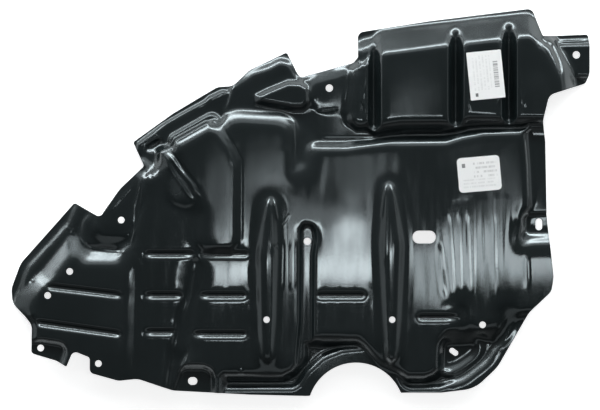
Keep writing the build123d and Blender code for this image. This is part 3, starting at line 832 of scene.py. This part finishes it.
def upper_print(tree):
    """Faint rows that run up the label, a column of bars beside them and a small dark mark."""
    u, v = label_place(tree, UPPER_LABEL)
    rows = times(tree, written_rows(tree, v, u, 5.0, 0.12, 3.0), block(tree, u, v, -20, 8, -22, 30))
    upwards = add_node(tree, "ShaderNodeCombineXYZ", {0: v}).outputs[0]
    bars = ramp(tree, noise(tree, upwards, 0.62, 1.0), 0.46, 0.52, 0.0, 1.0)
    column = times(tree, bars, block(tree, u, v, 12, 19, -20, 20))
    mark = block(tree, u, v, -18, -14, -31, -26)
    ink = larger(tree, times(tree, rows, 0.14), times(tree, column, 0.62))
    return larger(tree, ink, times(tree, mark, 0.85))


def lower_print(tree):
    """Rows of grey words and a small dark mark in the upper left corner."""
    u, v = label_place(tree, LOWER_LABEL)
    upper = times(tree, written_rows(tree, u, v, 6.4, 0.10, 9.0), block(tree, u, v, -8, 27, -6, 20))
    lower = times(tree, written_rows(tree, u, v, 5.2, 0.14, 21.0), block(tree, u, v, -25, 24, -22, -7))
    mark = block(tree, u, v, -25, -20, 11, 17)
    ink = larger(tree, times(tree, upper, 0.3), times(tree, lower, 0.16))
    return larger(tree, ink, times(tree, mark, 0.75))


def paper_material(name, printed):
    """White label paper with its print."""
    material, tree, shader = new_material(name)
    fibre = noise(tree, object_place(tree), 700.0, 4.0)
    white = mixed(tree, fibre, PAPER_DARK, PAPER_LIGHT)
    set_inputs(tree, shader, {
        "Base Color": mixed(tree, printed(tree), white, INK),
        "Roughness": PAPER_ROUGHNESS,
        "Normal": bump(tree, fibre, 0.1, 0.0001),
    })
    return material


def area_light(name, place, target, size, radiance):
    """A rectangular lamp that looks at a target, with a radiance in Blender's units."""
    data = bpy.data.lights.new(name, "AREA")
    data.shape = "RECTANGLE"
    data.size, data.size_y = size
    data.energy = radiance * math.pi * size[0] * size[1]
    data.color = LAMP_TINT
    lamp = bpy.data.objects.new(name, data)
    bpy.context.scene.collection.objects.link(lamp)
    lamp.location = place
    lamp.rotation_euler = (Vector(target) - Vector(place)).to_track_quat("-Z", "Y").to_euler()


def floor():
    """A wide pale floor just under the sheet, which glows where it is seen or mirrored but lights nothing."""
    mesh = bpy.data.meshes.new("floor")
    signs = ((-1, -1), (1, -1), (1, 1), (-1, 1))
    mesh.from_pydata([(FLOOR_REACH * x, FLOOR_REACH * y, FLOOR_LEVEL) for x, y in signs], [], [(0, 1, 2, 3)])
    obj = bpy.data.objects.new("floor", mesh)
    bpy.context.scene.collection.objects.link(obj)
    material, tree, shader = new_material("pale_floor")
    path = add_node(tree, "ShaderNodeLightPath").outputs
    seen = larger(tree, path["Is Camera Ray"], path["Is Transmission Ray"])
    seen = larger(tree, seen, path["Is Glossy Ray"])
    set_inputs(tree, shader, {
        "Base Color": FLOOR_GREY,
        "Roughness": FLOOR_ROUGHNESS,
        "Emission Color": WHITE,
        "Emission Strength": times(tree, seen, FLOOR_GLOW),
    })
    mesh.materials.append(material)


def studio():
    """The pale backdrop, lightest near the horizon and beyond the sheet's upper edge, and the soft lamps."""
    world = bpy.data.worlds.new("studio")
    bpy.context.scene.world = world
    world.use_nodes = True
    tree = world.node_tree
    background = next(n for n in tree.nodes if n.type == "BACKGROUND")
    way = add_node(tree, "ShaderNodeTexCoord").outputs["Generated"]
    parts = add_node(tree, "ShaderNodeSeparateXYZ", {0: way}).outputs
    near_horizon = ramp(tree, parts["Z"], 0.10, 0.50, 1.0, 0.0)
    side = ramp(tree, parts["Y"], 0.0, 0.9, 0.2, 0.35)
    overhead = ramp(tree, parts["Y"], -0.3, 0.5, 0.05, 0.2)
    strength = math_node(tree, "MULTIPLY_ADD", near_horizon, side, overhead)
    set_inputs(tree, background, {"Strength": strength, "Color": WHITE})
    for name, place, size, radiance in OVERHEAD_LAMPS:
        area_light(name, place, (place[0], place[1], 0), size, radiance)
    for layer, back, height, radiance in SOFTBOX_LAYERS:
        place = (0, SOFTBOX_PLACE[0] * back, SOFTBOX_PLACE[1] * back)
        area_light(f"upper_softbox_{layer}", place, (0, 0, 0), (SOFTBOX_WIDTH, height), radiance)
    for name, place, size, radiance in SIDE_LAMPS:
        area_light(name, place, (0, 0, 0), size, radiance)


def camera():
    """A long lens straight above the sheet, framed as the photograph is."""
    data = bpy.data.cameras.new("camera")
    centre = np.array(px(PHOTO_SIZE[0] / 2, PHOTO_SIZE[1] / 2)) + SHIFT
    data.sensor_width = SENSOR
    data.lens = SENSOR * (CAMERA_HEIGHT - FRAMED_LEVEL) / (PHOTO_SIZE[0] * PIXEL * MM)
    data.clip_end = CLIP_END
    obj = bpy.data.objects.new("camera", data)
    bpy.context.scene.collection.objects.link(obj)
    obj.location = (centre[0] * MM, centre[1] * MM, CAMERA_HEIGHT)
    bpy.context.scene.camera = obj


sheet = bpy.data.objects.new("shield_sheet", shield_mesh())
bpy.context.scene.collection.objects.link(sheet)
sheet.data.materials.append(plastic_material())
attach(sheet, "root")
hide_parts("shield")

for label, printed in (("upper_label", upper_print), ("lower_label", lower_print)):
    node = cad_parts[label]
    node.data.materials.clear()
    node.data.materials.append(paper_material(f"{label}_paper", printed))

floor()
studio()
camera()
bpy.context.scene.view_settings.view_transform = "Standard"
